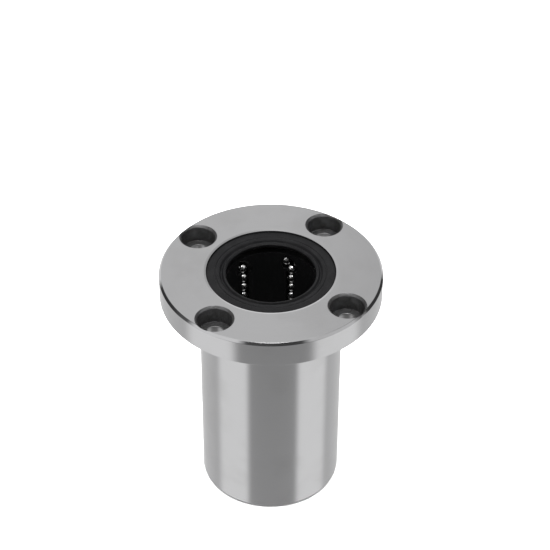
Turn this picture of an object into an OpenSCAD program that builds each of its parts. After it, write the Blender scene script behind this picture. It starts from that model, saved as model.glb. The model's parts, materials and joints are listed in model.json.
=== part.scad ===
// Flanged linear ball bushing for a round shaft.
// A hardened steel sleeve with a round flange holds a resin retainer.
// Six closed loops of balls run in the retainer: one straight row of each
// loop carries the shaft, the other row brings the balls back.
// Origin: centre of the barrel's end face. +Z runs along the bore to the flange.

/* [Sleeve] */
// Overall length, from the barrel's end to the flange's face
overall_length = 73; // [71:0.5:80]
// Outside diameter of the barrel
barrel_diameter = 40; // [39.5:0.5:42]
// Outside diameter of the flange
flange_diameter = 62; // [61:0.5:62.5]
// Thickness of the flange
flange_thickness = 8; // [7:0.5:12]
// Chamfer on the flange's two edges
flange_chamfer = 0.65; // [0.2:0.05:0.8]
// Chamfer on the barrel's end
barrel_chamfer = 0.8; // [0.3:0.1:1]
// Radius of the fillet where the barrel meets the flange
root_fillet = 0.8; // [0.4:0.1:1.2]

/* [Bolt holes] */
// Diameter of the circle that the screws stand on
bolt_circle = 51; // [50.5:0.5:52]
// Diameter of each screw hole
bolt_hole = 5.5; // [4.5:0.1:6]
// Diameter of the recess for each screw head
counterbore = 9.5; // [9:0.1:9.6]
// Depth of the recess for each screw head
counterbore_depth = 5.1; // [3.5:0.1:5.4]
// Chamfer round each recess
counterbore_chamfer = 0.6; // [0.2:0.1:0.6]
// Angle of the first screw hole
first_bolt_angle = 45; // [0:5:90]

/* [Balls] */
// Diameter of the shaft that the bushing runs on
shaft_diameter = 25; // [24.8:0.1:25.2]
// Diameter of each ball
ball_diameter = 3.175; // [3:0.025:3.175]
// Distance between neighbouring balls in a straight row
ball_pitch = 3.2; // [3.2:0.01:3.22]
// Balls in each straight row
row_balls = 17; // [12:1:17]
// Radius of the half circle that joins the two rows of a loop
turn_radius = 2.4; // [2.36:0.01:2.44]
// Angle of the first loop's loaded row
first_loop_angle = -4; // [-10:1:10]

/* [Retainer] */
// Gap between the shaft and the retainer's bore
retainer_shaft_gap = 0.4; // [0.3:0.05:0.5]
// Gap all round a ball in its track
track_gap = 0.11; // [0.09:0.01:0.12]

/* [Seals] */
// Diameter of the seat that each end seal is pressed into
seal_diameter = 36; // [35.6:0.2:36.4]
// Depth of each seal's face below the end of the sleeve
seal_depth = 0.5; // [0.3:0.1:0.8]
// Thickness of each seal
seal_thickness = 2.4; // [2.2:0.1:2.6]

/* [Hidden] */
$fn = 64;
fine = 128;
loops = 6;
loop_step = 360 / loops;
bolts = 4;
skim = 0.02;

// How far each loop's balls have rolled along their track
loop_shift = [0.4, 1.3, -0.87, -0.6, 0.7, -0.3];

shaft_r = shaft_diameter / 2;
ball_r = ball_diameter / 2;
mid_z = overall_length / 2;
flange_z = overall_length - flange_thickness;

// Stack at each end, as depths below the end face
seal_back = seal_depth + seal_thickness;
ring_thickness = 1;
ring_front = seal_back + 0.05;
ring_groove_back = ring_front + ring_thickness + 0.05;
retainer_end = ring_groove_back + 0.1;

// Radii of the ball tracks: the loaded row, and the row that returns
loaded_r = shaft_r + ball_r;
retainer_bore_r = shaft_r + retainer_shaft_gap;
track_r = ball_r + track_gap;
slot_half = track_r - 0.05;
floor_thickness = 0.7;
return_r = retainer_bore_r + floor_thickness + track_r;
return_turn = acos(
    (pow(loaded_r, 2) + pow(return_r, 2) - pow(2 * turn_radius, 2)) / (2 * loaded_r * return_r)
);
straight = row_balls * ball_pitch;
turn_z = straight / 2;

// Radii inside the sleeve
raceway_r = loaded_r + ball_r + 0.05;
relief_r = return_r + ball_r + 0.12;
seat_r = relief_r + 0.15;
seal_r = seal_diameter / 2;
ring_groove_r = seal_r + 0.5;
mouth_chamfer = 0.3;
land_chamfer = 0.4;
relief_half_angle = 10;

// Radii of the retainer
core_r = raceway_r - 0.175;
key_r = relief_r - 0.15;
key_half_angle = relief_half_angle - 0.7;
collar_r = seat_r - 0.15;
collar_gap = 0.3;

// Balls in each turn stand this far along the arc from its ends
turn_inset = 1.95;
turn_inset_angle = turn_inset / turn_radius * 180 / PI;

function loop_names(k) = [
    for (part = ["loaded_balls", "return_balls", "upper_turn_balls", "lower_turn_balls"])
        str("loop_", k, "_", part)
];

steel_colour = [0.74, 0.74, 0.76];
ball_colour = [0.88, 0.88, 0.9];
rubber_colour = [0.1, 0.1, 0.1];
resin_colour = [0.06, 0.06, 0.07];
ring_colour = [0.5, 0.5, 0.52];

// ---------- helpers ----------

// Children are copied from the lower end to the upper end, mirrored.
module at_upper_end() {
    translate([0, 0, overall_length])
        mirror([0, 0, 1])
            children();
}

// Flat ring between two radii and two heights.
module washer(inner, outer, low, high) {
    rotate_extrude($fn = fine)
        translate([inner, low])
            square([outer - inner, high - low]);
}

// Slice of a disc about an angle.
module sector(radius, angle, half_angle) {
    reach = 2 * radius;
    intersection() {
        circle(r = radius, $fn = fine);
        rotate(angle)
            polygon([
                [0, 0],
                [reach * cos(half_angle), -reach * sin(half_angle)],
                [reach * cos(half_angle), reach * sin(half_angle)]
            ]);
    }
}

function polar(radius, angle) = [radius * cos(angle), radius * sin(angle)];
function loaded_angle(k) = first_loop_angle + (k - 1) * loop_step;
function return_angle(k) = loaded_angle(k) + return_turn;
function loop_middle(k) = (polar(loaded_r, loaded_angle(k)) + polar(return_r, return_angle(k))) / 2;
function loop_chord(k) = polar(return_r, return_angle(k)) - polar(loaded_r, loaded_angle(k));
function loop_tilt(k) = atan2(loop_chord(k)[1], loop_chord(k)[0]);

// Children are drawn in the flat plane of loop k, which holds both of its rows:
// X points from the loaded row to the return row, Y is up and Z is outward.
module in_loop_plane(k) {
    translate([loop_middle(k)[0], loop_middle(k)[1], mid_z])
        rotate([90, 0, loop_tilt(k)])
            children();
}

// ---------- sleeve ----------

module sleeve_outline() {
    barrel_r = barrel_diameter / 2;
    flange_r = flange_diameter / 2;
    difference() {
        polygon([
            [0, 0],
            [barrel_r - barrel_chamfer, 0],
            [barrel_r, barrel_chamfer],
            [barrel_r, flange_z - root_fillet],
            [barrel_r + root_fillet, flange_z],
            [flange_r - flange_chamfer, flange_z],
            [flange_r, flange_z + flange_chamfer],
            [flange_r, overall_length - flange_chamfer],
            [flange_r - flange_chamfer, overall_length],
            [0, overall_length]
        ]);
        translate([barrel_r + root_fillet, flange_z - root_fillet])
            circle(r = root_fillet);
    }
}

// The bore from one end to the middle: mouth, seal seat, ring groove,
// retainer seat, and the start of the raceways.
module bore_outline() {
    land_z = mid_z - turn_z;
    polygon([
        [0, -1],
        [seal_r + mouth_chamfer + 1, -1],
        [seal_r, mouth_chamfer],
        [seal_r, seal_back],
        [ring_groove_r, seal_back],
        [ring_groove_r, ring_groove_back],
        [seat_r, ring_groove_back],
        [seat_r, land_z],
        [raceway_r + land_chamfer, land_z],
        [raceway_r, land_z + land_chamfer],
        [raceway_r, mid_z + 1],
        [0, mid_z + 1]
    ]);
}

module counterbored_hole() {
    translate([0, 0, flange_z - 1])
        cylinder(d = bolt_hole, h = flange_thickness + 2);
    translate([0, 0, overall_length - counterbore_depth])
        cylinder(d = counterbore, h = counterbore_depth + 1);
    translate([0, 0, overall_length - counterbore_chamfer])
        cylinder(
            d1 = counterbore,
            d2 = counterbore + 4 * counterbore_chamfer,
            h = 2 * counterbore_chamfer
        );
}

module sleeve() {
    color(steel_colour)
        difference() {
            rotate_extrude($fn = fine)
                sleeve_outline();
            rotate_extrude($fn = fine)
                bore_outline();
            at_upper_end()
                rotate_extrude($fn = fine)
                    bore_outline();
            for (k = [1:loops])
                translate([0, 0, mid_z])
                    linear_extrude(height = straight + 1, center = true)
                        sector(relief_r, return_angle(k), relief_half_angle);
            for (i = [0:bolts - 1])
                rotate([0, 0, first_bolt_angle + i * 360 / bolts])
                    translate([bolt_circle / 2, 0, 0])
                        counterbored_hole();
        }
}

// ---------- retainer ----------

// Section of a ball track: a round floor with a slot that opens outward.
module track_section() {
    circle(r = track_r);
    translate([-slot_half, 0])
        square([2 * slot_half, 2 * track_r]);
}

module track_turn() {
    rotate_extrude(angle = 180)
        translate([turn_radius, 0])
            track_section();
}

// One closed track: two straight stretches and two half circles.
module ball_track() {
    for (side = [-1, 1])
        translate([side * turn_radius, 0, 0])
            rotate([90, 0, 0])
                linear_extrude(height = straight, center = true)
                    track_section();
    translate([0, turn_z, 0])
        track_turn();
    translate([0, -turn_z, 0])
        rotate([0, 0, 180])
            track_turn();
}

// Window into one turn from the bore, too narrow for a ball, with sloping sides.
module turn_window() {
    window_half = 1.42;
    window_from = 98;
    window_to = 186;
    slope_start = 0.45;
    slope_end = 0.95;
    inner_slope = 0.85;
    outer_slope = 1;
    window_depth = 3;
    rotate([0, 0, window_from])
        rotate_extrude(angle = window_to - window_from)
            translate([turn_radius, 0])
                polygon([
                    [-window_half, -0.3],
                    [-window_half, -slope_start],
                    [-window_half - inner_slope, -slope_end],
                    [-window_half - inner_slope, -window_depth],
                    [window_half + outer_slope, -window_depth],
                    [window_half + outer_slope, -slope_end],
                    [window_half, -slope_start],
                    [window_half, -0.3]
                ]);
}

// The windows into both turns of a track.
module turn_windows() {
    translate([0, turn_z, 0])
        turn_window();
    translate([0, -turn_z, 0])
        mirror([0, 1, 0])
            turn_window();
}

// The collar that centres the retainer's end in the sleeve.
module retainer_collar() {
    washer(
        retainer_bore_r, collar_r,
        retainer_end, mid_z - turn_z - collar_gap
    );
}

module retainer() {
    inner_length = overall_length - 2 * retainer_end;
    color(resin_colour)
        difference() {
            union() {
                washer(retainer_bore_r, core_r, retainer_end, overall_length - retainer_end);
                retainer_collar();
                at_upper_end()
                    retainer_collar();
                for (k = [1:loops])
                    translate([0, 0, mid_z])
                        linear_extrude(height = inner_length - 1, center = true)
                            difference() {
                                sector(key_r, return_angle(k), key_half_angle);
                                circle(r = loaded_r, $fn = fine);
                            }
            }
            for (k = [1:loops])
                in_loop_plane(k) {
                    ball_track();
                    turn_windows();
                }
        }
}

// ---------- rings and seals ----------

// Snap ring that keeps the retainer in the sleeve.
module side_ring() {
    gap_half_angle = 8;
    ring_outer_r = ring_groove_r - 0.05;
    ring_inner_r = 15;
    color(ring_colour)
        difference() {
            washer(ring_inner_r, ring_outer_r, ring_front, ring_front + ring_thickness);
            translate([0, 0, ring_front - 1])
                linear_extrude(height = ring_thickness + 2)
                    sector(ring_outer_r + 1, 180, gap_half_angle);
        }
}

core_inner_r = 14.4;
core_outer_r = seal_r - 0.6;
core_front = seal_back - 0.9;

// Steel disc that stiffens the seal.
module seal_core() {
    color(ring_colour)
        washer(core_inner_r, core_outer_r, core_front, seal_back);
}

// Rubber seal: a flat face, a groove, and a lip that wipes the shaft.
module seal_lip() {
    rim_r = seal_r - skim;
    rim_chamfer = 0.25;
    groove_floor = seal_depth + 0.6;
    lip_face = seal_depth + 0.1;
    wipe_start = lip_face + 0.25;
    wipe_end = wipe_start + 0.8;
    color(rubber_colour)
        rotate_extrude($fn = fine)
            polygon([
                [rim_r, seal_depth + rim_chamfer],
                [rim_r - rim_chamfer, seal_depth],
                [shaft_r + 2.2, seal_depth],
                [shaft_r + 1.7, groove_floor],
                [shaft_r + 1.1, groove_floor],
                [shaft_r + 0.7, lip_face],
                [shaft_r + 0.25, lip_face],
                [shaft_r, wipe_start],
                [shaft_r, wipe_end],
                [shaft_r + 0.9, wipe_end + 0.5],
                [shaft_r + 1.3, seal_back],
                [core_inner_r, seal_back],
                [core_inner_r, core_front],
                [core_outer_r, core_front],
                [core_outer_r, seal_back],
                [rim_r, seal_back]
            ]);
}

// ---------- balls ----------

module ball() {
    sphere(r = ball_r);
}

// Straight row on one side of loop k. The rows roll opposite ways.
module ball_row(k, side) {
    color(ball_colour)
        in_loop_plane(k)
            for (i = [0:row_balls - 1])
                translate([
                    side * turn_radius,
                    (i - (row_balls - 1) / 2) * ball_pitch - side * loop_shift[k - 1],
                    0
                ])
                    ball();
}

// The two balls in the half circle at one end of loop k.
module turn_balls(k, end) {
    rolled = loop_shift[k - 1] / turn_radius * 180 / PI;
    middle = end * 90 - rolled;
    half_spread = 90 - turn_inset_angle;
    color(ball_colour)
        in_loop_plane(k)
            translate([0, end * turn_z, 0])
                for (side = [-1, 1])
                    rotate([0, 0, middle + side * half_spread])
                        translate([turn_radius, 0, 0])
                            ball();
}

sleeve();
retainer();
at_upper_end() side_ring();  // upper_side_ring
side_ring();  // lower_side_ring
at_upper_end() seal_core();  // upper_seal_core
seal_core();  // lower_seal_core
at_upper_end() seal_lip();  // upper_seal_lip
seal_lip();  // lower_seal_lip
for (k = [1:loops]) {
    ball_row(k, -1);
    ball_row(k, 1);
    turn_balls(k, 1);
    turn_balls(k, -1);
}
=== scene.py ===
"""Looks for a flanged linear ball bushing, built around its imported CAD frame.

The sleeve and the two end seals are modelled here as finished pieces. The
retainer, the rings and the balls are the frame's own solids, which are dressed
with their finishes. All lengths are in metres unless a name ends in _mm.
"""

from __future__ import annotations

import json
import logging
import math
from dataclasses import dataclass
from enum import Enum
from typing import Any, Iterable, Sequence

import bmesh
import bpy
from mathutils import Matrix, Quaternion, Vector


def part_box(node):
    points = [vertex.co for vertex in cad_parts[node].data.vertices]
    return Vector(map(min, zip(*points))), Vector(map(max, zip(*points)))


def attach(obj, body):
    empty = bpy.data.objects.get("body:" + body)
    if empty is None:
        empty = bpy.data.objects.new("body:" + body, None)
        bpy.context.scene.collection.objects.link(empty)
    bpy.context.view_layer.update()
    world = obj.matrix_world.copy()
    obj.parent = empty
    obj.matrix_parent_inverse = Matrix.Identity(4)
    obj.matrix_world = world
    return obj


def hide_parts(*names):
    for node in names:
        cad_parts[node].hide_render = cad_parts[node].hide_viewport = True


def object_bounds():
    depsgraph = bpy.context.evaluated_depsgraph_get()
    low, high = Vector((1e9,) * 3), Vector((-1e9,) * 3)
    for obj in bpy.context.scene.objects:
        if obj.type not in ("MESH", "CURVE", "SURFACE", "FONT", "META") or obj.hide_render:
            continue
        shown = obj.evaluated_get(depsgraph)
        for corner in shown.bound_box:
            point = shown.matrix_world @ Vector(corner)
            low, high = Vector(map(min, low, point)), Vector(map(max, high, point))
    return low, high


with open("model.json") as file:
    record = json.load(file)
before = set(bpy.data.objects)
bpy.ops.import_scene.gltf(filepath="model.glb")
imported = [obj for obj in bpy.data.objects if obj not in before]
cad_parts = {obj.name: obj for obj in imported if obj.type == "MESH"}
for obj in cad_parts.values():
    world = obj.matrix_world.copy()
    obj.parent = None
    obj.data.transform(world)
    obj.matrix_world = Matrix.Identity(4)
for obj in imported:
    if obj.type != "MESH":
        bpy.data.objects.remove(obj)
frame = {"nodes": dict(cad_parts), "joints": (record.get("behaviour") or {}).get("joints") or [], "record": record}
CAD_LOW, CAD_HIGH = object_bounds()

MM = 0.001
TINY = 1e-6
LOG = logging.getLogger("bushing")

Colour = tuple[float, float, float]
Stops = tuple[tuple[float, float], ...]


# ---------------------------------------------------------------- layout


class End(Enum):
    """The two ends of the bushing. The flange is at the upper one."""

    UPPER = "upper"
    LOWER = "lower"


@dataclass(frozen=True)
class Layout:
    """The bushing's main sizes, read from the frame.

    Args:
        length: overall length, from the barrel's end to the flange's face.
        barrel: radius of the barrel.
        flange: radius of the flange.
        flange_back: height of the flange's back face.
        shaft: radius of the shaft that the bushing runs on.
        hole_circle: radius of the circle that the screw holes stand on.
        hole: radius of each screw hole.
        hole_count: number of screw holes.
        seal_seat: radius of the seat that each seal sits in.
        seal_face: depth of a seal's face below the end of the sleeve.
        seal_back: depth of a seal's back.
        groove: radius of the snap ring's groove.
        groove_back: depth of the far side of that groove.
        retainer_seat: radius of the bore that the retainer's collars sit in.
        land_start: height at which the raceways start.
        raceway: radius of the raceways.
        relief: radius of the grooves for the returning balls.
        relief_angles: angle of each of those grooves, in radians.
    """

    length: float
    barrel: float
    flange: float
    flange_back: float
    shaft: float
    hole_circle: float
    hole: float
    hole_count: int
    seal_seat: float
    seal_face: float
    seal_back: float
    groove: float
    groove_back: float
    retainer_seat: float
    land_start: float
    raceway: float
    relief: float
    relief_angles: tuple[float, ...]

    @classmethod
    def from_frame(cls) -> Layout:
        """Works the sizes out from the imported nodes, mounts and joints.

        Returns:
            The layout that every part is built on.
        """
        mounts = {m["name"]: m for m in frame["record"]["mounts"]}
        joints = {j["name"]: j for j in frame["joints"]}
        screws = mounts["flange_screws"]["dims"]
        seal_low, seal_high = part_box("lower_seal_lip")
        ring_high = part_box("lower_side_ring")[1]
        ball_low, ball_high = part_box("loop_1_loaded_balls")
        ball = ball_high.x - ball_low.x
        shaft = mounts["shaft_bore"]["dims"]["r_mm"] * MM
        loops = sum(name.endswith("_return_balls") for name in frame["nodes"])
        rows = [cls._middle(f"loop_{k + 1}_return_balls") for k in range(loops)]
        return cls(
            length=CAD_HIGH.z,
            barrel=mounts["barrel"]["dims"]["r_mm"] * MM,
            flange=CAD_HIGH.x,
            flange_back=mounts["flange_seat"]["pos_m"][2],
            shaft=shaft,
            hole_circle=screws["pcd_mm"] * MM / 2,
            hole=screws["hole_r_mm"] * MM,
            hole_count=screws["count"],
            seal_seat=seal_high.x + 0.02 * MM,
            seal_face=seal_low.z,
            seal_back=seal_high.z,
            groove=ring_high.x + 0.05 * MM,
            groove_back=ring_high.z + 0.05 * MM,
            retainer_seat=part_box("retainer")[1].x + 0.15 * MM,
            land_start=joints["loop_1_lower_turn"]["pos_m"][2],
            raceway=shaft + ball + 0.05 * MM,
            relief=rows[0].length + ball / 2 + 0.12 * MM,
            relief_angles=tuple(math.atan2(row.y, row.x) for row in rows),
        )

    @staticmethod
    def _middle(node: str) -> Vector:
        """Gives the middle of a node's box, seen along the bore.

        Args:
            node: the node's name.

        Returns:
            The middle.
        """
        low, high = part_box(node)
        return ((low + high) / 2).xy


# ---------------------------------------------------------------- shader maths


class Signal:
    """One value in a material's node tree, with arithmetic on it."""

    def __init__(self, graph: Graph, socket: bpy.types.NodeSocket) -> None:
        """Wraps a socket.

        Args:
            graph: the node tree that the socket is in.
            socket: the output socket.
        """
        self.graph = graph
        self.socket = socket

    def _math(self, operation: str, *values: Any) -> Signal:
        """Adds a Math node.

        Args:
            operation: the node's operation.
            values: its inputs, in order.

        Returns:
            The node's result.
        """
        inputs = dict(enumerate(values))
        return self.graph.add("ShaderNodeMath", {"operation": operation}, inputs)

    def __add__(self, other: Any) -> Signal:
        """Adds."""
        return self._math("ADD", self, other)

    __radd__ = __add__

    def __sub__(self, other: Any) -> Signal:
        """Subtracts."""
        return self._math("SUBTRACT", self, other)

    def __rsub__(self, other: Any) -> Signal:
        """Subtracts this from another value."""
        return self._math("SUBTRACT", other, self)

    def __mul__(self, other: Any) -> Signal:
        """Multiplies."""
        return self._math("MULTIPLY", self, other)

    __rmul__ = __mul__

    def __truediv__(self, other: Any) -> Signal:
        """Divides."""
        return self._math("DIVIDE", self, other)

    def __rtruediv__(self, other: Any) -> Signal:
        """Divides another value by this."""
        return self._math("DIVIDE", other, self)

    def step(self, low: float, high: float) -> Signal:
        """Eases from 0 at low to 1 at high.

        Args:
            low: where the step starts.
            high: where the step ends.

        Returns:
            The eased value.
        """
        settings = {"interpolation_type": "SMOOTHSTEP"}
        inputs = {"Value": self, "From Min": low, "From Max": high}
        return self.graph.add("ShaderNodeMapRange", settings, inputs)


class Graph:
    """A node tree that is filled from Python expressions."""

    def __init__(self, tree: bpy.types.NodeTree) -> None:
        """Takes over a node tree and empties it.

        Args:
            tree: the node tree of a material or a world.
        """
        self.tree = tree
        tree.nodes.clear()

    def node(
        self,
        kind: str,
        settings: dict[str, Any] | None = None,
        inputs: dict[Any, Any] | None = None,
    ) -> bpy.types.Node:
        """Adds a node.

        Args:
            kind: the node's type.
            settings: its properties, set before its inputs. "stops" gives a
                ramp's stops as pairs of position and grey level or colour.
            inputs: values or signals, by socket name or number.

        Returns:
            The node.
        """
        made = self.tree.nodes.new(kind)
        for name, value in (settings or {}).items():
            if name == "stops":
                self._set_stops(made.color_ramp, value)
            else:
                setattr(made, name, value)
        for key, value in (inputs or {}).items():
            socket = made.inputs[key]
            if isinstance(value, Signal):
                self.tree.links.new(value.socket, socket)
            else:
                socket.default_value = value
        return made

    @staticmethod
    def _set_stops(ramp: bpy.types.ColorRamp, stops: Sequence[tuple[float, Any]]) -> None:
        """Fills a colour ramp.

        Args:
            ramp: the ramp.
            stops: pairs of position and grey level or colour.
        """
        while len(ramp.elements) < len(stops):
            ramp.elements.new(1.0)
        for element, (position, level) in zip(ramp.elements, stops):
            element.position = position
            shade = (level,) * 3 if isinstance(level, (int, float)) else level
            element.color = (*shade, 1.0)

    def add(
        self,
        kind: str,
        settings: dict[str, Any] | None = None,
        inputs: dict[Any, Any] | None = None,
        output: Any = 0,
    ) -> Signal:
        """Adds a node and gives one of its outputs.

        Args:
            kind: the node's type.
            settings: its properties.
            inputs: values or signals, by socket name or number.
            output: name or number of the output.

        Returns:
            That output.
        """
        return Signal(self, self.node(kind, settings, inputs).outputs[output])

    def place(self) -> Signal:
        """Gives the place on the piece, in metres, in its own coordinates."""
        return self.add("ShaderNodeTexCoord", output="Object")

    def split(self, vector: Signal) -> tuple[Signal, Signal, Signal]:
        """Splits a vector into its three parts.

        Args:
            vector: the vector.

        Returns:
            Its x, y and z.
        """
        made = self.node("ShaderNodeSeparateXYZ", None, {0: vector})
        x, y, z = (Signal(self, socket) for socket in made.outputs)
        return x, y, z

    def vector(self, x: Any, y: Any, z: Any) -> Signal:
        """Joins three parts into a vector."""
        return self.add("ShaderNodeCombineXYZ", None, {0: x, 1: y, 2: z})

    def length(self, vector: Signal) -> Signal:
        """Measures a vector."""
        return self.add("ShaderNodeVectorMath", {"operation": "LENGTH"}, {0: vector}, "Value")

    def noise(
        self, vector: Signal, scale: float, detail: float = 2.0, rough: float = 0.5
    ) -> Signal:
        """Adds noise on a vector.

        Args:
            vector: where the noise is read.
            scale: its cells per unit.
            detail: its octaves.
            rough: how strong the finer octaves are.

        Returns:
            A value around 0.5.
        """
        inputs = {"Vector": vector, "Scale": scale, "Detail": detail, "Roughness": rough}
        return self.add("ShaderNodeTexNoise", None, inputs)

    def blend(self, share: Any, first: Any, second: Any) -> Signal:
        """Mixes two colours.

        Args:
            share: 0 for the first, 1 for the second.
            first: colour at 0.
            second: colour at 1.

        Returns:
            The mixed colour.
        """
        colours = {
            6: first if isinstance(first, Signal) else (*first, 1.0),
            7: second if isinstance(second, Signal) else (*second, 1.0),
        }
        settings = {"data_type": "RGBA"}
        return self.add("ShaderNodeMix", settings, {0: share, **colours}, output=2)

    def bump(self, height: Signal, strength: float, depth_mm: float) -> Signal:
        """Turns a height into a normal.

        Args:
            height: the height, from 0 to 1.
            strength: the share of the effect that is used.
            depth_mm: the real height of 1, in millimetres.

        Returns:
            The normal.
        """
        inputs = {"Height": height, "Strength": strength, "Distance": depth_mm * MM}
        return self.add("ShaderNodeBump", None, inputs)


def turned_place(graph: Graph, pitch_mm: float, wander: float) -> Signal:
    """Gives coordinates in which noise runs in rings round the bore.

    Args:
        graph: the node tree.
        pitch_mm: the distance between rings.
        wander: how much a ring changes on its way round.

    Returns:
        The vector to read noise at.
    """
    x, y, z = graph.split(graph.place())
    radius = graph.length(graph.vector(x, y, 0.0))
    count = 1 / (pitch_mm * MM)
    spoke_x = x / (radius + TINY) * wander
    spoke_y = y / (radius + TINY) * wander
    return graph.vector(radius * count + spoke_x, z * count + spoke_y, spoke_x - spoke_y)


# ---------------------------------------------------------------- finishes


@dataclass(frozen=True)
class Finish:
    """A finish made with one Principled shader.

    Args:
        name: the material's name.
        colour: its main tint.
        roughness: how much it blurs reflections.
    """

    name: str
    colour: Colour
    roughness: float

    def material(self) -> bpy.types.Material:
        """Makes the material.

        Returns:
            The material.
        """
        material = bpy.data.materials.new(self.name)
        material.use_nodes = True
        graph = Graph(material.node_tree)
        shader = graph.add("ShaderNodeBsdfPrincipled", None, self._fill(graph))
        graph.node("ShaderNodeOutputMaterial", None, {"Surface": shader})
        return material

    def _fill(self, graph: Graph) -> dict[str, Any]:
        """Builds the finish's pattern. Each finish has its own."""
        raise NotImplementedError


@dataclass(frozen=True)
class GroundSteel(Finish):
    """Bearing steel, hardened, then ground or finely turned.

    Args:
        shade: its tint where oil or wear has dulled it.
        ring_pitch_mm: the distance between the machining rings.
        ring_depth_mm: how deep they look.
        stretch: how much longer reflections are across the rings.
    """

    shade: Colour
    ring_pitch_mm: float
    ring_depth_mm: float
    stretch: float

    def _fill(self, graph: Graph) -> dict[str, Any]:
        """Builds rings of fine marks and faint dull patches.

        Args:
            graph: the material's node tree.

        Returns:
            The shader's inputs.
        """
        where = turned_place(graph, self.ring_pitch_mm, wander=0.6)
        rings = graph.noise(where, scale=1.0, detail=3.0, rough=0.6)
        broad = graph.noise(where, scale=0.12)
        patches = graph.noise(graph.place(), scale=90.0, detail=3.0).step(0.45, 0.75)
        specks = graph.noise(graph.place(), scale=1400.0).step(0.66, 0.78)
        dull = patches * 0.55 + broad * 0.35 + specks * 0.1
        return {
            "Base Color": graph.blend(dull, self.colour, self.shade),
            "Metallic": 1.0,
            "Roughness": (rings - 0.5) * 0.10 + patches * 0.05 + self.roughness,
            "Anisotropic": self.stretch,
            "Anisotropic Rotation": 0.25,
            "Normal": graph.bump(rings, 0.35, self.ring_depth_mm),
        }


@dataclass(frozen=True)
class DrilledSteel(Finish):
    """Steel inside the screw holes: drilled; its dark colour is part hardening, part painted shade.

    Args:
        scale_colour: its tint where the hardening scale is thick.
        step_mm: the height of one tool mark.
    """

    scale_colour: Colour
    step_mm: float

    def _fill(self, graph: Graph) -> dict[str, Any]:
        """Builds level tool marks and blotches of scale.

        Args:
            graph: the material's node tree.

        Returns:
            The shader's inputs.
        """
        place = graph.place()
        _, _, z = graph.split(place)
        marks = graph.noise(graph.vector(0.0, 0.0, z / (self.step_mm * MM)), scale=1.0)
        blotch = graph.noise(place, scale=450.0, detail=4.0).step(0.4, 0.65)
        return {
            "Base Color": graph.blend(blotch, self.colour, self.scale_colour),
            "Metallic": 1.0,
            "Roughness": blotch * 0.15 + marks * 0.08 + self.roughness,
            "Normal": graph.bump(marks + blotch * 0.5, 0.5, depth_mm=0.012),
        }


@dataclass(frozen=True)
class SealRubber(Finish):
    """Moulded nitrile rubber with a faint bloom.

    Args:
        bloom: the rubber where it has a greyish bloom.
    """

    bloom: Colour

    def _fill(self, graph: Graph) -> dict[str, Any]:
        """Builds the mould's turned marks, a fine grain and the bloom.

        Args:
            graph: the material's node tree.

        Returns:
            The shader's inputs.
        """
        where = turned_place(graph, pitch_mm=0.16, wander=0.3)
        mould = graph.noise(where, scale=1.0)
        grain = graph.noise(graph.place(), scale=5200.0)
        bloom = graph.noise(graph.place(), scale=260.0, detail=3.0).step(0.42, 0.7)
        return {
            "Base Color": graph.blend(bloom * 0.6, self.colour, self.bloom),
            "Roughness": mould * 0.14 + bloom * 0.08 + self.roughness,
            "Specular IOR Level": 0.19,
            "Normal": graph.bump(mould * 0.6 + grain * 0.4, 0.4, depth_mm=0.02),
        }


@dataclass(frozen=True)
class MouldedResin(Finish):
    """Black bearing resin, straight from the mould.

    Args:
        scuff: the resin where balls and handling have polished it.
    """

    scuff: Colour

    def _fill(self, graph: Graph) -> dict[str, Any]:
        """Builds a spark-eroded grain and faint flow lines along the bore.

        Args:
            graph: the material's node tree.

        Returns:
            The shader's inputs.
        """
        x, y, z = graph.split(graph.place())
        grain = graph.noise(graph.place(), scale=4200.0, detail=3.0)
        flow = graph.noise(graph.vector(x * 900.0, y * 900.0, z * 60.0), scale=1.0)
        worn = flow.step(0.5, 0.8)
        return {
            "Base Color": graph.blend(worn, self.colour, self.scuff),
            "Roughness": grain * 0.12 - worn * 0.08 + self.roughness,
            "Specular IOR Level": 0.35,
            "Normal": graph.bump(grain, 0.5, depth_mm=0.02),
        }


@dataclass(frozen=True)
class BallSteel(Finish):
    """Lapped bearing balls with a film of oil.

    Args:
        film: the steel under the film.
    """

    film: Colour

    def _fill(self, graph: Graph) -> dict[str, Any]:
        """Builds the oil film's faint blotches.

        Args:
            graph: the material's node tree.

        Returns:
            The shader's inputs.
        """
        film = graph.noise(graph.place(), scale=700.0).step(0.4, 0.7)
        return {
            "Base Color": graph.blend(film, self.colour, self.film),
            "Metallic": 1.0,
            "Roughness": film * 0.05 + self.roughness,
        }


@dataclass(frozen=True)
class SpringSteel(Finish):
    """Pressed and tempered strip, for the snap rings and seal cores.

    Args:
        temper: the strip where tempering has tinted it.
    """

    temper: Colour

    def _fill(self, graph: Graph) -> dict[str, Any]:
        """Builds rolling marks and a patchy temper colour.

        Args:
            graph: the material's node tree.

        Returns:
            The shader's inputs.
        """
        x, y, z = graph.split(graph.place())
        rolled = graph.noise(graph.vector(x * 200.0, y * 9000.0, z * 9000.0), scale=1.0)
        temper = graph.noise(graph.place(), scale=180.0, detail=3.0).step(0.4, 0.7)
        return {
            "Base Color": graph.blend(temper, self.colour, self.temper),
            "Metallic": 1.0,
            "Roughness": rolled * 0.16 + temper * 0.06 + self.roughness,
            "Normal": graph.bump(rolled, 0.3, depth_mm=0.008),
        }


@dataclass(frozen=True)
class FloorPaint(Finish):
    """Dull pale paint.

    Args:
        cloud: the paint where it is a little paler.
    """

    cloud: Colour

    def _fill(self, graph: Graph) -> dict[str, Any]:
        """Builds faint clouds on the paint.

        Args:
            graph: the material's node tree.

        Returns:
            The shader's inputs.
        """
        cloud = graph.noise(graph.place(), scale=3.0)
        return {
            "Base Color": graph.blend(cloud, self.colour, self.cloud),
            "Roughness": self.roughness,
            "Specular IOR Level": 0.1,
        }


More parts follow.
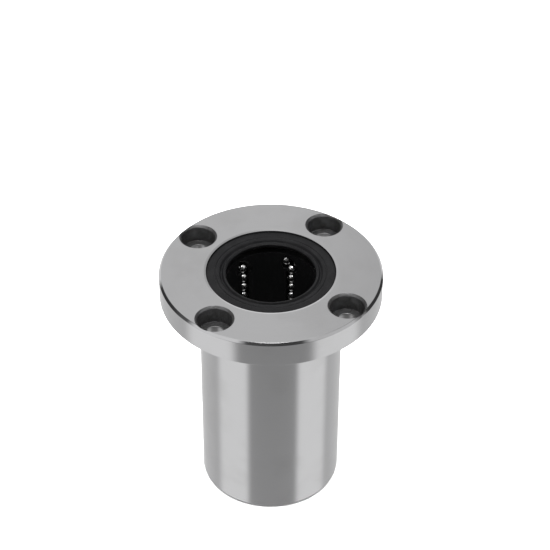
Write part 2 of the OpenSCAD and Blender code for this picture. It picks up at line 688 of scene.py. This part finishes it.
@dataclass(frozen=True)
class FinishSet:
    """Every finish on the bushing.

    Args:
        ground: the sleeve's outside.
        raceway: the sleeve's bore.
        drilled: the recesses of the screw heads.
        reamed: the screw holes.
        burnished: the flange's chamfers.
        rubber: the end seals.
        resin: the retainer.
        balls: the balls.
        strip: the snap rings and the seals' steel cores.
    """

    ground: bpy.types.Material
    raceway: bpy.types.Material
    drilled: bpy.types.Material
    reamed: bpy.types.Material
    burnished: bpy.types.Material
    rubber: bpy.types.Material
    resin: bpy.types.Material
    balls: bpy.types.Material
    strip: bpy.types.Material

    @classmethod
    def make(cls) -> FinishSet:
        """Makes all the materials.

        Returns:
            The finishes, ready to use.
        """
        ground = GroundSteel(
            name="ground_bearing_steel",
            colour=(0.660, 0.660, 0.668),
            shade=(0.615, 0.613, 0.617),
            roughness=0.17,
            ring_pitch_mm=0.09,
            ring_depth_mm=0.004,
            stretch=0.35,
        )
        raceway = GroundSteel(
            name="ground_raceway_steel",
            colour=(0.60, 0.60, 0.61),
            shade=(0.50, 0.49, 0.48),
            roughness=0.22,
            ring_pitch_mm=0.12,
            ring_depth_mm=0.006,
            stretch=0.2,
        )
        # The drilled colour is dark partly from hardening and partly as painted shade of the deep recesses.
        drilled = DrilledSteel(
            name="drilled_hardened_steel",
            colour=(0.20, 0.20, 0.204),
            scale_colour=(0.165, 0.164, 0.163),
            roughness=0.44,
            step_mm=0.12,
        )
        reamed = GroundSteel(
            name="reamed_steel",
            colour=(0.40, 0.40, 0.405),
            shade=(0.33, 0.328, 0.326),
            roughness=0.30,
            ring_pitch_mm=0.15,
            ring_depth_mm=0.004,
            stretch=0.0,
        )
        burnished = GroundSteel(
            name="burnished_steel",
            colour=(0.58, 0.58, 0.59),
            shade=(0.52, 0.518, 0.52),
            roughness=0.09,
            ring_pitch_mm=0.2,
            ring_depth_mm=0.001,
            stretch=0.0,
        )
        rubber = SealRubber(
            name="seal_rubber",
            colour=(0.0032, 0.0032, 0.0035),
            bloom=(0.0062, 0.0062, 0.0066),
            roughness=0.40,
        )
        resin = MouldedResin(
            name="moulded_black_resin",
            colour=(0.003, 0.003, 0.0032),
            scuff=(0.006, 0.006, 0.0063),
            roughness=0.42,
        )
        balls = BallSteel(
            name="lapped_ball_steel",
            colour=(0.80, 0.80, 0.81),
            film=(0.72, 0.715, 0.70),
            roughness=0.17,
        )
        strip = SpringSteel(
            name="tempered_spring_strip",
            colour=(0.42, 0.42, 0.43),
            temper=(0.30, 0.28, 0.25),
            roughness=0.24,
        )
        finishes = (ground, raceway, drilled, reamed, burnished, rubber, resin, balls, strip)
        return cls(*(finish.material() for finish in finishes))


# ---------------------------------------------------------------- mesh tools


@dataclass(frozen=True)
class Corner:
    """A corner of a turned outline.

    Args:
        radius: distance from the axis.
        height: place along the axis.
        round_mm: how far back along each side the corner is rounded.
    """

    radius: float
    height: float
    round_mm: float = 0.0


def turned_mesh(corners: Sequence[Corner], steps: int, arc_steps: int = 3) -> bmesh.types.BMesh:
    """Turns a closed outline round the bore's axis.

    Args:
        corners: the outline, in order.
        steps: faces in a full turn.
        arc_steps: faces across a rounded corner.

    Returns:
        A closed mesh.
    """
    mesh = bmesh.new()
    verts = [mesh.verts.new((c.radius, 0.0, c.height)) for c in corners]
    mesh.faces.new(verts)
    for size in sorted({c.round_mm for c in corners if c.round_mm}):
        chosen = [v for v, c in zip(verts, corners) if c.round_mm == size]
        bmesh.ops.bevel(
            mesh,
            geom=chosen,
            offset=size * MM,
            offset_type="OFFSET",
            segments=arc_steps,
            profile=0.5,
            affect="VERTICES",
            material=-1,
        )
    bmesh.ops.delete(mesh, geom=mesh.faces[:], context="FACES_ONLY")
    bmesh.ops.spin(
        mesh,
        geom=mesh.verts[:] + mesh.edges[:],
        cent=(0, 0, 0),
        axis=(0, 0, 1),
        dvec=(0, 0, 0),
        angle=math.tau,
        steps=steps,
        use_merge=True,
        use_duplicate=False,
    )
    bmesh.ops.remove_doubles(mesh, verts=mesh.verts[:], dist=1e-8)
    bmesh.ops.recalc_face_normals(mesh, faces=mesh.faces[:])
    return mesh


def to_object(mesh: bmesh.types.BMesh, name: str) -> bpy.types.Object:
    """Makes an object of a mesh and frees the mesh.

    Args:
        mesh: the mesh.
        name: the object's name.

    Returns:
        The object, at the origin.
    """
    data = bpy.data.meshes.new(name)
    mesh.to_mesh(data)
    mesh.free()
    piece = bpy.data.objects.new(name, data)
    bpy.context.scene.collection.objects.link(piece)
    return piece


def settle(piece: bpy.types.Object) -> None:
    """Applies a piece's modifiers to its mesh.

    Args:
        piece: the piece.
    """
    graph = bpy.context.evaluated_depsgraph_get()
    made = bpy.data.meshes.new_from_object(piece.evaluated_get(graph))
    made.name = piece.name
    piece.modifiers.clear()
    piece.data = made


def carve(piece: bpy.types.Object, cutters: Iterable[bpy.types.Object]) -> None:
    """Cuts shapes out of a piece and removes the shapes.

    Args:
        piece: the piece that is cut.
        cutters: closed shapes.
    """
    tools = list(cutters)
    for tool in tools:
        modifier = piece.modifiers.new("cut", "BOOLEAN")
        modifier.operation = "DIFFERENCE"
        modifier.solver = "EXACT"
        modifier.object = tool
    settle(piece)
    for tool in tools:
        bpy.data.objects.remove(tool)


def shade(piece: bpy.types.Object, crease_degrees: float) -> None:
    """Shades a piece smooth, with creases and with flat faces kept flat.

    Args:
        piece: the piece.
        crease_degrees: edges sharper than this stay creased.
    """
    limit = math.radians(crease_degrees)
    mesh = bmesh.new()
    mesh.from_mesh(piece.data)
    for face in mesh.faces:
        face.smooth = True
    for edge in mesh.edges:
        edge.smooth = len(edge.link_faces) == 2 and edge.calc_face_angle(0.0) < limit
    mesh.to_mesh(piece.data)
    mesh.free()
    modifier = piece.modifiers.new("flatten", "WEIGHTED_NORMAL")
    modifier.mode = "FACE_AREA"
    modifier.weight = 100
    modifier.keep_sharp = True
    settle(piece)


def dress(piece: bpy.types.Object, *materials: bpy.types.Material) -> None:
    """Gives a piece its materials in place of any it has.

    Args:
        piece: the piece.
        materials: one material for each slot.
    """
    slots = piece.data.materials
    while len(slots) < len(materials):
        slots.append(None)
    for index in range(len(slots)):
        slots[index] = materials[min(index, len(materials) - 1)]


# ---------------------------------------------------------------- sleeve


class SteelFace(Enum):
    """The sleeve's kinds of face. Each value is the number of a material slot."""

    OUTSIDE = 0
    BORE = 1
    RECESS = 2
    SCREW_HOLE = 3
    RIM_CHAMFER = 4


@dataclass
class Sleeve:
    """The hardened sleeve with its flange, bore, raceways and screw holes.

    Args:
        layout: the bushing's main sizes.
        flange_chamfer_mm: chamfer on the flange's edges.
        barrel_chamfer_mm: chamfer on the barrel's end.
        root_fillet_mm: fillet between the barrel and the flange.
        edge_mm: rounding on the edges of chamfers.
        mouth_mm: width of the polished slope round the bore's ends.
        mouth_depth_mm: depth of that slope.
        land_chamfer_mm: chamfer at the ends of the raceways.
        recess_mm: radius of each screw head's recess.
        recess_depth_mm: depth of that recess.
        recess_chamfer_mm: chamfer round that recess.
        relief_degrees: width of each relief groove.
        steps: faces round the sleeve.
    """

    layout: Layout
    flange_chamfer_mm: float = 0.65
    barrel_chamfer_mm: float = 0.8
    root_fillet_mm: float = 0.8
    edge_mm: float = 0.07
    mouth_mm: float = 0.5
    mouth_depth_mm: float = 0.12
    land_chamfer_mm: float = 0.4
    recess_mm: float = 4.75
    recess_depth_mm: float = 5.1
    recess_chamfer_mm: float = 0.6
    relief_degrees: float = 20.0
    steps: int = 256

    def build(self) -> bpy.types.Object:
        """Models the sleeve.

        Returns:
            The sleeve, which stands for the frame's sleeve node.
        """
        outline = self._outside() + self._bore()
        piece = to_object(turned_mesh(outline, self.steps), "ground_sleeve")
        carve(piece, [*self._hole_cutters(), *self._relief_cutters()])
        shade(piece, crease_degrees=24.0)
        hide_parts("sleeve")
        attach(piece, "sleeve")
        return piece

    def dress(self, piece: bpy.types.Object, finishes: FinishSet) -> None:
        """Gives the outside, the bore and the screw holes their finishes.

        Args:
            piece: the sleeve.
            finishes: the finishes.
        """
        in_hole = (finishes.drilled, finishes.reamed)
        dress(piece, finishes.ground, finishes.raceway, *in_hole, finishes.burnished)
        for face in piece.data.polygons:
            face.material_index = self._kind_of(face.center, face.normal).value

    def _kind_of(self, point: Vector, normal: Vector) -> SteelFace:
        """Tells what kind of face the sleeve has at a point.

        Args:
            point: the middle of the face.
            normal: the face's outward normal.

        Returns:
            The kind. A recess's chamfer counts as part of the recess.
        """
        lay = self.layout
        radius = point.xy.length
        if radius < lay.seal_seat + 0.02 * MM:
            return SteelFace.BORE
        tilt = abs(normal.z)
        is_level = tilt >= 0.99
        is_slanted = 0.3 < tilt < 0.95
        past_chamfer_mm = 0.1
        rim = lay.flange - (self.flange_chamfer_mm + past_chamfer_mm) * MM
        if radius > rim and normal.xy.dot(point.xy) > 0.0 and not is_level:
            return SteelFace.RIM_CHAMFER if is_slanted else SteelFace.OUTSIDE
        depth = (lay.length - point.z) / MM
        in_recess = 0.9 * self.recess_chamfer_mm < depth < self.recess_depth_mm + 0.01
        for spot in self._hole_spots():
            near = (point.xy - spot).length / MM
            if near > self.recess_mm + self.recess_chamfer_mm + past_chamfer_mm:
                continue
            if in_recess and near > lay.hole / MM + 0.04:
                return SteelFace.RECESS
            if not is_level:
                in_chamfer = depth < self.recess_chamfer_mm
                return SteelFace.RECESS if in_chamfer else SteelFace.SCREW_HOLE
        return SteelFace.OUTSIDE

    def _outside(self) -> list[Corner]:
        """Outlines the outside, from the barrel's end up to the flange's face.

        Returns:
            The corners, in order.
        """
        lay = self.layout
        barrel_end = self.barrel_chamfer_mm * MM
        chamfer = self.flange_chamfer_mm * MM
        edge = self.edge_mm
        return [
            Corner(lay.barrel - barrel_end, 0.0, edge),
            Corner(lay.barrel, barrel_end, edge),
            Corner(lay.barrel, lay.flange_back, self.root_fillet_mm),
            Corner(lay.flange - chamfer, lay.flange_back, edge),
            Corner(lay.flange, lay.flange_back + chamfer, edge),
            Corner(lay.flange, lay.length - chamfer, edge),
            Corner(lay.flange - chamfer, lay.length, edge),
        ]

    def _bore(self) -> list[Corner]:
        """Outlines the bore, from the flange's face down to the barrel's end.

        Returns:
            The corners, in order.
        """
        lower = self._bore_end()
        top = self.layout.length
        upper = [Corner(c.radius, top - c.height, c.round_mm) for c in lower]
        return upper + lower[::-1]

    def _bore_end(self) -> list[Corner]:
        """Outlines one end of the bore, as depths below the end face.

        Returns:
            The corners, in order.
        """
        lay = self.layout
        land = self.land_chamfer_mm * MM
        return [
            Corner(lay.seal_seat + self.mouth_mm * MM, 0.0, self.edge_mm),
            Corner(lay.seal_seat, self.mouth_depth_mm * MM),
            Corner(lay.seal_seat, lay.seal_back),
            Corner(lay.groove, lay.seal_back),
            Corner(lay.groove, lay.groove_back),
            Corner(lay.retainer_seat, lay.groove_back, 0.1),
            Corner(lay.retainer_seat, lay.land_start, 0.1),
            Corner(lay.raceway + land, lay.land_start, 0.1),
            Corner(lay.raceway, lay.land_start + land, 0.1),
        ]

    def _hole_spots(self) -> list[Vector]:
        """Gives the middle of each screw hole, seen along the bore.

        Returns:
            The middles, in order round the flange.
        """
        lay = self.layout
        turn = math.tau / lay.hole_count
        angles = [turn * (i + 0.5) for i in range(lay.hole_count)]
        return [lay.hole_circle * Vector((math.cos(a), math.sin(a))) for a in angles]

    def _hole_cutters(self) -> list[bpy.types.Object]:
        """Makes a cutter for each counterbored hole.

        Returns:
            The cutters, which pass both faces of the flange.
        """
        lay = self.layout
        recess = self.recess_mm * MM
        chamfer = self.recess_chamfer_mm * MM
        burr = 0.2 * MM
        step = 0.12 * MM
        over = 1.0 * MM
        soft = 0.04 * MM
        top, back = lay.length, lay.flange_back
        floor = top - self.recess_depth_mm * MM
        outline = [
            Corner(0.0, back - over),
            Corner(lay.hole + burr + over, back - over),
            Corner(lay.hole, back + burr, 0.05),
            Corner(lay.hole, floor - step, 0.04),
            Corner(lay.hole + step, floor, 0.04),
            Corner(recess, floor, 0.12),
            Corner(recess, top - chamfer, 0.04),
            Corner(recess + chamfer - soft, top - soft),
            Corner(recess + chamfer + soft, top + soft * 0.2),
            Corner(recess + chamfer + over, top + over),
            Corner(0.0, top + over),
        ]
        cutters = []
        for number, spot in enumerate(self._hole_spots()):
            mesh = turned_mesh(outline, steps=96)
            loose = [edge for edge in mesh.edges if not edge.link_faces]
            bmesh.ops.delete(mesh, geom=loose, context="EDGES")
            bmesh.ops.translate(mesh, verts=mesh.verts[:], vec=(spot.x, spot.y, 0.0))
            cutters.append(to_object(mesh, f"hole_cutter_{number}"))
        return cutters

    def _relief_cutters(self) -> list[bpy.types.Object]:
        """Makes a cutter for each groove that the returning balls run in.

        Returns:
            The cutters, which pass both ends of the raceways.
        """
        lay = self.layout
        low = lay.land_start - 0.5 * MM
        high = lay.length - low
        inner = lay.raceway - 1.0 * MM
        width = math.radians(self.relief_degrees)
        cutters = []
        for number, angle in enumerate(lay.relief_angles):
            mesh = bmesh.new()
            corners = [(inner, low), (lay.relief, low), (lay.relief, high), (inner, high)]
            verts = [mesh.verts.new((radius, 0.0, height)) for radius, height in corners]
            start = mesh.faces.new(verts)
            bmesh.ops.spin(
                mesh,
                geom=[start],
                cent=(0, 0, 0),
                axis=(0, 0, 1),
                dvec=(0, 0, 0),
                angle=width,
                steps=16,
                use_merge=False,
                use_duplicate=False,
            )
            bmesh.ops.recalc_face_normals(mesh, faces=mesh.faces[:])
            turn = Matrix.Rotation(angle - width / 2, 4, "Z")
            bmesh.ops.transform(mesh, matrix=turn, verts=mesh.verts[:])
            cutters.append(to_object(mesh, f"relief_cutter_{number}"))
        return cutters


# ---------------------------------------------------------------- seals


@dataclass
class EndSeal:
    """A rubber end seal: a flat rim, fine ridges, a groove and a wiping lip.

    Args:
        layout: the bushing's main sizes.
        end: the end of the bushing that it closes.
        steps: faces round the seal.
    """

    layout: Layout
    end: End
    steps: int = 192

    def build(self) -> bpy.types.Object:
        """Models the seal.

        Returns:
            The seal, which stands for the frame's seal lip node.
        """
        mesh = turned_mesh(self._outline(), self.steps)
        if self.end is End.UPPER:
            bmesh.ops.scale(mesh, vec=(1, 1, -1), verts=mesh.verts[:])
            bmesh.ops.translate(mesh, vec=(0, 0, self.layout.length), verts=mesh.verts[:])
            bmesh.ops.recalc_face_normals(mesh, faces=mesh.faces[:])
        piece = to_object(mesh, f"{self.end.value}_rubber_seal")
        shade(piece, crease_degrees=50.0)
        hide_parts(f"{self.end.value}_seal_lip")
        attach(piece, "sleeve")
        return piece

    def dress(self, piece: bpy.types.Object, finishes: FinishSet) -> None:
        """Gives the seal its rubber.

        Args:
            piece: the seal.
            finishes: the finishes.
        """
        dress(piece, finishes.rubber)

    def _outline(self) -> list[Corner]:
        """Outlines the seal's section, as depths below the end face.

        Returns:
            The corners, in order.
        """
        lay = self.layout
        core_low, core_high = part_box("lower_seal_core")
        core, core_front = core_high.x, core_low.z
        core_inner = self._core_inner()
        face, back = lay.seal_face, lay.seal_back
        rim, shaft = lay.seal_seat - 0.02 * MM, lay.shaft
        return [
            Corner(rim, face + 0.30 * MM, 0.08),
            Corner(rim - 0.30 * MM, face, 0.12),
            Corner(shaft + 3.15 * MM, face, 0.10),
            Corner(shaft + 3.00 * MM, face + 0.14 * MM, 0.05),
            Corner(shaft + 2.80 * MM, face + 0.14 * MM, 0.05),
            Corner(shaft + 2.65 * MM, face, 0.10),
            Corner(shaft + 1.85 * MM, face + 0.05 * MM, 0.15),
            Corner(shaft + 1.45 * MM, face + 0.70 * MM, 0.18),
            Corner(shaft + 1.05 * MM, face + 0.70 * MM, 0.18),
            Corner(shaft + 0.72 * MM, face + 0.12 * MM, 0.12),
            Corner(shaft + 0.48 * MM, face + 0.12 * MM, 0.12),
            Corner(shaft, face + 0.45 * MM, 0.06),
            Corner(shaft, face + 1.15 * MM, 0.06),
            Corner(shaft + 0.90 * MM, face + 1.65 * MM, 0.2),
            Corner(shaft + 1.30 * MM, back, 0.1),
            Corner(core_inner, back),
            Corner(core_inner, core_front),
            Corner(core, core_front),
            Corner(core, back),
            Corner(rim, back, 0.1),
        ]

    def _core_inner(self) -> float:
        """Gives the radius of the hole in the seal's steel core."""
        node = frame["nodes"]["lower_seal_core"]
        return min(v.co.xy.length for v in node.data.vertices)


# ---------------------------------------------------------------- frame pieces


@dataclass
class FrameSolids:
    """The frame's own solids that are shown as they are."""

    def dress(self, finishes: FinishSet) -> list[str]:
        """Gives each shown solid its finish.

        Args:
            finishes: the finishes.

        Returns:
            The names of the solids.
        """
        done = []
        for name, node in frame["nodes"].items():
            if node.hide_render:
                continue
            dress(node, self._finish(name, finishes))
            done.append(name)
        return done

    @staticmethod
    def _finish(name: str, finishes: FinishSet) -> bpy.types.Material:
        """Picks a solid's finish by what it is.

        Args:
            name: the solid's name.
            finishes: the finishes.

        Returns:
            The finish.
        """
        if name.endswith("_balls"):
            return finishes.balls
        if name == "retainer":
            return finishes.resin
        return finishes.strip


# ---------------------------------------------------------------- studio


@dataclass
class Studio:
    """A pale floor, soft light all round, and the camera.

    Args:
        layout: the bushing's main sizes.
        azimuth: where the camera stands round the object, in degrees.
        elevation: how far it looks down, in degrees.
        roll: how far it is turned about its own line of sight, in degrees.
        lens: its focal length on a 36 mm sensor.
        distance_mm: how far it is from the point it looks at.
        aim_below_mm: how far that point is below the flange's face.
        aside_mm: how far the camera stands to its own right.
        floor_size: side of the floor.
        gap_offset: how far the tent's dark gap is turned to the camera's right.
        zenith: brightness of the tent's roof.
        spot: brightness of the round lamp that the balls glint in.
        spot_elevation: how high that lamp stands above the camera's side, in degrees.
        spot_radius: half of how wide it looks from the object, in degrees.
        gap_shade: how much darker the gap is above its foot.
        right_shade: how much darker the tent's upper part is on the right.
        left_shade: how much darker it is on the left.
        below: brightness of the tent below eye level, by angle from its gap.
        middle: the same at eye level.
        above: the same above eye level.
    """

    layout: Layout
    azimuth: float = -9.0
    elevation: float = 39.1
    roll: float = 0.3
    lens: float = 118.3
    distance_mm: float = 499.0
    aim_below_mm: float = 1.66
    aside_mm: float = 1.1
    floor_size: float = 6.0
    gap_offset: float = 4.0
    zenith: float = 1.0
    spot: float = 7.0
    spot_elevation: float = 69.0
    spot_radius: float = 10.0
    gap_shade: float = 0.24
    right_shade: float = 0.26
    left_shade: float = 0.07
    below: Stops = ((180, 0.80), (152, 0.64), (104, 0.53), (92, 0.86), (46, 0.87), (37, 0.38), (0, 0.36))
    middle: Stops = ((180, 0.95), (138, 0.95), (130, 0.05), (100, 0.05), (88, 0.7), (60, 0.9), (30, 0.2))
    above: Stops = (
        (180, 0.66), (140, 0.60), (128, 0.12), (92, 0.12), (84, 1.0), (40, 1.0), (30, 0.09), (0, 0.09)
    )  # fmt: skip

    def build(self) -> None:
        """Makes the camera, the floor, the lamp and the surroundings."""
        bpy.context.scene.view_settings.view_transform = "Standard"
        self._camera()
        self._floor()
        self._lamp("overhead_softbox", place=(0.0, 0.05, 0.85), size=0.9, power=26.0)
        self._surroundings()

    def _front(self, offset: float = 0.0) -> Vector:
        """Gives the level direction from the object towards the camera.

        Args:
            offset: turns the direction to the camera's right, in degrees.

        Returns:
            The direction.
        """
        turn = math.radians(self.azimuth + offset)
        return Vector((math.sin(turn), -math.cos(turn), 0.0))

    @staticmethod
    def _band(graph: Graph, turn: Signal, stops: Stops) -> Signal:
        """Makes one level band of the light tent.

        Args:
            graph: the world's node tree.
            turn: 1 towards the gap, 0 away from it.
            stops: pairs of angle from the gap, in degrees, and brightness,
                from behind the object round to the gap.

        Returns:
            The band's brightness.
        """
        places = [((math.cos(math.radians(angle)) + 1) / 2, level) for angle, level in stops]
        return graph.add("ShaderNodeValToRGB", {"stops": places}, {0: turn})

    def _camera(self) -> None:
        """Makes the camera."""
        tilt = math.radians(self.elevation)
        front = self._front()
        back = front * math.cos(tilt) + Vector((0.0, 0.0, math.sin(tilt)))
        right = Vector((0.0, 0.0, 1.0)).cross(front)
        aim = Vector((0.0, 0.0, self.layout.length - self.aim_below_mm * MM))
        aim += right * self.aside_mm * MM
        data = bpy.data.cameras.new("camera")
        data.lens = self.lens
        data.sensor_width = 36.0
        data.clip_start = 0.01
        camera = bpy.data.objects.new("camera", data)
        camera.location = aim + back * self.distance_mm * MM
        camera.rotation_mode = "QUATERNION"
        level = (-back).to_track_quat("-Z", "Y")
        camera.rotation_quaternion = Quaternion(back, math.radians(self.roll)) @ level
        bpy.context.scene.collection.objects.link(camera)
        bpy.context.scene.camera = camera

    def _floor(self) -> None:
        """Makes the plain pale floor."""
        mesh = bmesh.new()
        bmesh.ops.create_grid(mesh, x_segments=2, y_segments=2, size=self.floor_size / 2)
        floor = to_object(mesh, "floor")
        paint = FloorPaint(
            name="pale_floor",
            colour=(0.87, 0.87, 0.87),
            cloud=(0.89, 0.89, 0.89),
            roughness=0.9,
        )
        dress(floor, paint.material())
        floor.visible_glossy = False

    def _lamp(self, name: str, place: Sequence[float], size: float, power: float) -> None:
        """Makes a square soft lamp that points at the object.

        Args:
            name: the lamp's name.
            place: where it hangs.
            size: its side.
            power: its power in watts.
        """
        data = bpy.data.lights.new(name, "AREA")
        data.size = size
        data.energy = power
        lamp = bpy.data.objects.new(name, data)
        lamp.location = place
        aim = Vector((0.0, 0.0, self.layout.length / 2)) - Vector(place)
        lamp.rotation_mode = "QUATERNION"
        lamp.rotation_quaternion = aim.to_track_quat("-Z", "Y")
        lamp.visible_glossy = False
        bpy.context.scene.collection.objects.link(lamp)

    def _surroundings(self) -> None:
        """Makes the light tent: bright sides, with a dark gap at the camera."""
        world = bpy.data.worlds.new("light_tent")
        bpy.context.scene.world = world
        world.use_nodes = True
        graph = Graph(world.node_tree)
        way = graph.split(graph.add("ShaderNodeTexCoord", output="Generated"))
        strength = self._with_spot(self._tent(graph, way), way)
        inputs = {"Color": (1, 1, 1, 1), "Strength": strength}
        light = graph.add("ShaderNodeBackground", None, inputs)
        graph.node("ShaderNodeOutputWorld", None, {"Surface": light})

    def _tent(self, graph: Graph, way: tuple[Signal, Signal, Signal]) -> Signal:
        """Lights the tent in three level bands and a roof, which run into each other.

        Args:
            graph: the world's node tree.
            way: the x, y and z of the direction from the object.

        Returns:
            The tent's brightness in that direction.
        """
        x, y, z = way
        gap = self._front(self.gap_offset)
        level = graph.length(graph.vector(x, y, 0.0)) + TINY
        turn = (x * gap.x + y * gap.y) / level * 0.5 + 0.5
        below = self._band(graph, turn, self.below)
        in_gap = turn.step(0.86, 0.93)
        below = below * (1.0 - z.step(-0.678, -0.660) * in_gap * self.gap_shade)
        middle = self._band(graph, turn, self.middle)
        above = self._band(graph, turn, self.above)
        right = Vector((0.0, 0.0, 1.0)).cross(self._front())
        aside = x * right.x + y * right.y
        above = above * (1.0 - aside.step(0.0, 0.085) * self.right_shade)
        above = above * (1.0 - self.left_shade + aside.step(-0.07, -0.02) * self.left_shade)
        tent = below + (middle - below) * z.step(-0.45, -0.12)
        tent = tent + (above - tent) * z.step(0.32, 0.46)
        return tent + (self.zenith - tent) * z.step(0.89, 0.95)

    def _with_spot(self, tent: Signal, way: tuple[Signal, Signal, Signal]) -> Signal:
        """Adds the round lamp that the balls glint in.

        Args:
            tent: the tent's brightness.
            way: the x, y and z of the direction from the object.

        Returns:
            The brightness with the lamp.
        """
        x, y, z = way
        rise = math.radians(self.spot_elevation)
        spot = self._front() * math.cos(rise) + Vector((0.0, 0.0, math.sin(rise)))
        nearness = x * spot.x + y * spot.y + z * spot.z
        edge, core = (math.cos(math.radians(self.spot_radius + soft)) for soft in (1.5, -1.5))
        return tent + (self.spot - tent) * nearness.step(edge, core)


# ---------------------------------------------------------------- main


def main() -> None:
    """Builds and dresses the bushing and its studio, and reports each piece."""
    logging.basicConfig(level=logging.INFO, format="%(name)s: %(message)s")
    layout = Layout.from_frame()
    Studio(layout).build()
    finishes = FinishSet.make()
    seals = (EndSeal(layout, end) for end in End)
    parts: list[Sleeve | EndSeal] = [Sleeve(layout), *seals]
    for part in parts:
        piece = part.build()
        part.dress(piece, finishes)
        LOG.info("%s: %d faces", piece.name, len(piece.data.polygons))
    for name in FrameSolids().dress(finishes):
        LOG.info("%s: dressed", name)


if __name__ == "__main__":
    main()
